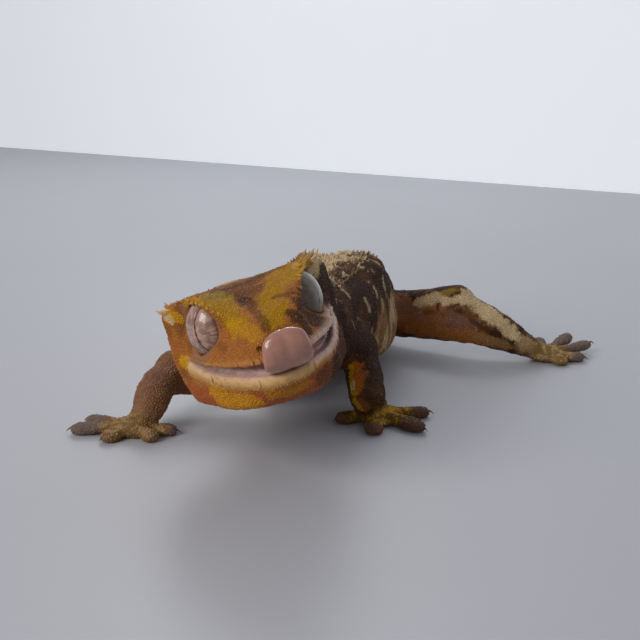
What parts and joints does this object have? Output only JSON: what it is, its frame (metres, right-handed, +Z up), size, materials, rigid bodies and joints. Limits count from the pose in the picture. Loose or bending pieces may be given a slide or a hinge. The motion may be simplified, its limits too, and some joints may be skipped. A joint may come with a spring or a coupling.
{
  "type": "crested gecko model",
  "caption": "Life-size still model of a crested gecko, crouching on spread feet with its head turned and tipped, licking the tip of its snout; it rests flat on a surface.",
  "frame": {"origin": "on the floor under the middle of the bounding box", "axes": "+Z up from the floor, +Y from head to tail, +X towards the animal's left side"},
  "size_m": [0.09, 0.1734, 0.0321],
  "materials": {
    "skin": "granular reptile skin, orange-brown head and dark brown body",
    "eye": "glossy clear spectacle over a pinkish-grey iris",
    "wet_flesh": "wet pink tongue"
  },
  "bodies": {
    "root": {"head": "skin", "lower_jaw": "skin", "tongue": "wet_flesh", "eye_left": "eye", "eye_right": "eye", "neck": "skin", "torso": "skin", "tail_base": "skin", "tail_mid": "skin", "tail_tip": "skin", "upper_arm_left": "skin", "forearm_left": "skin", "hand_left": "skin", "upper_arm_right": "skin", "forearm_right": "skin", "hand_right": "skin", "thigh_left": "skin", "shin_left": "skin", "foot_left": "skin", "thigh_right": "skin", "shin_right": "skin", "foot_right": "skin"}
  },
  "joints": []
}
